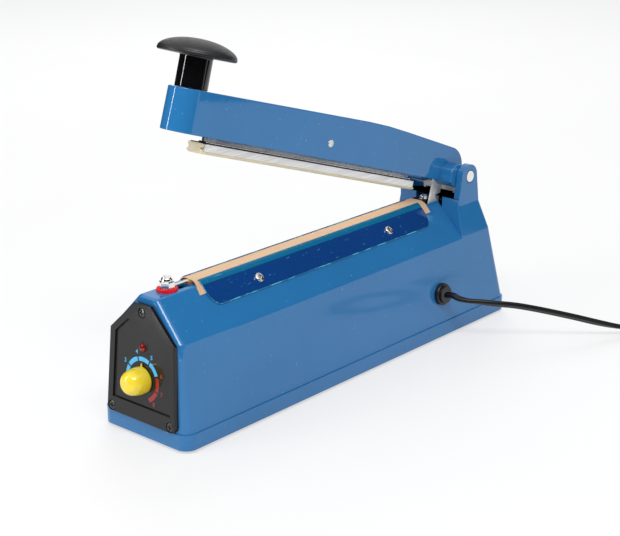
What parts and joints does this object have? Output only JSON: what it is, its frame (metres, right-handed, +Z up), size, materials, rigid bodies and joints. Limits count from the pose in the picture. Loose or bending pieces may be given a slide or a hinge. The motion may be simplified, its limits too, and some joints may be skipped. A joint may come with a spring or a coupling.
{
  "type": "impulse heat sealer",
  "caption": "Bench impulse heat sealer: a sprung arm with a silicone press bar closes on a heated strip along the ridge of a hollow base with a timer dial.",
  "frame": {"origin": "on the floor, midway between the tip of the timer knob and the rear of the base, on the base's centre plane", "axes": "+X along the base from the timer panel to the hinge, +Y across it away from the cord, +Z up; the arm is open"},
  "size_m": [0.4486, 0.2507, 0.2303],
  "materials": {
    "blue_paint": "gloss",
    "plate_blue": "high gloss",
    "panel_black": "satin",
    "black_screw": "satin",
    "lens_red": "clear",
    "timer_yellow": "gloss",
    "knob_black": "satin",
    "washer_red": "satin",
    "steel": "plated",
    "plate_steel": "satin",
    "core_steel": "laminated",
    "aluminium": "extruded",
    "bush_brass": "plain",
    "winding": "enamelled",
    "bobbin": "plain",
    "board_green": "plain",
    "device_blue": "plain",
    "device_black": "plain",
    "insulation": "plain",
    "silicone": "matt",
    "cushion": "matt",
    "rubber": "matt",
    "cloth": "coated",
    "plug_black": "satin"
  },
  "bodies": {
    "base": {"base_housing": "blue_paint", "clamp_plate_near": "plate_blue", "clamp_plate_far": "plate_blue", "front_panel": "panel_black", "panel_screws": "black_screw", "indicator_lens": "lens_red", "terminal_washer": "washer_red", "bottom_screws": "steel", "potentiometer": "steel", "potentiometer_nut": "steel", "transformer_strap": "steel", "transformer_screws": "steel", "heating_element": "steel", "clamp_screws": "steel", "terminal_stud": "steel", "terminal_nut": "steel", "rear_terminal_screw": "steel", "hinge_pin": "steel", "stop_bar": "steel", "switch_bracket": "steel", "switch_screws": "steel", "spring_anchor": "steel", "return_spring": "steel", "bottom_plate": "plate_steel", "transformer_core": "core_steel", "heat_sink": "aluminium", "plug_pins": "bush_brass", "transformer_winding": "winding", "transformer_bobbin": "bobbin", "timer_board": "board_green", "relay": "device_blue", "timing_capacitor": "device_blue", "switch_body": "device_black", "rear_terminal_block": "device_black", "insulating_strip": "insulation", "rubber_feet": "rubber", "cord_gland": "rubber", "power_cord": "rubber", "cord_coil": "rubber", "nonstick_cloth": "cloth", "plug_body": "plug_black", "cord_tie": "plug_black"},
    "press_arm": {"arm_shell": "blue_paint", "hinge_bushes": "bush_brass", "arm_knob": "knob_black", "knob_screw": "steel", "bar_rivet": "steel", "striker": "steel"},
    "press_bar": {"carrier_rail": "aluminium", "cushion_strip": "cushion", "press_channel": "aluminium", "silicone_strip": "silicone"},
    "timer_dial": {"timer_knob": "timer_yellow", "potentiometer_shaft": "steel"},
    "lever": {"switch_lever": "steel"},
    "plunger": {"switch_plunger": "device_black"}
  },
  "joints": [
    {"name": "arm_hinge", "type": "hinge", "parent": "base", "child": "press_arm", "pos_m": [0.13191, 0, 0.104], "axis": [0, -1, 0], "range_deg": [0, 17.15], "stiffness_Nm_per_rad": 1.2, "springref_deg": -68.75, "deforming": ["return_spring"]},
    {"name": "bar_swivel", "type": "hinge", "parent": "press_arm", "child": "press_bar", "pos_m": [0.00113, 0, 0.14992], "axis": [0, -1, 0], "range_deg": [0, 0.8]},
    {"name": "timer_turn", "type": "hinge", "parent": "base", "child": "timer_dial", "pos_m": [-0.15104, 0, 0.03733], "axis": [-0.998, 0, 0.0637], "range_deg": [-135, 135]},
    {"name": "lever_pivot", "type": "hinge", "parent": "base", "child": "lever", "pos_m": [0.13241, -0.004, 0.0593], "axis": [0, 1, 0], "range_deg": [0, 12.3]},
    {"name": "plunger_slide", "type": "slide", "parent": "base", "child": "plunger", "axis": [1, 0, 0], "range_m": [0, 0.0016]}
  ],
  "couplings": [
    {"joint": "bar_swivel", "follows": "arm_hinge", "ratio": 0.043732},
    {"joint": "lever_pivot", "follows": "arm_hinge", "ratio": 0.71},
    {"joint": "plunger_slide", "follows": "arm_hinge", "m_per_rad": 0.00448}
  ]
}
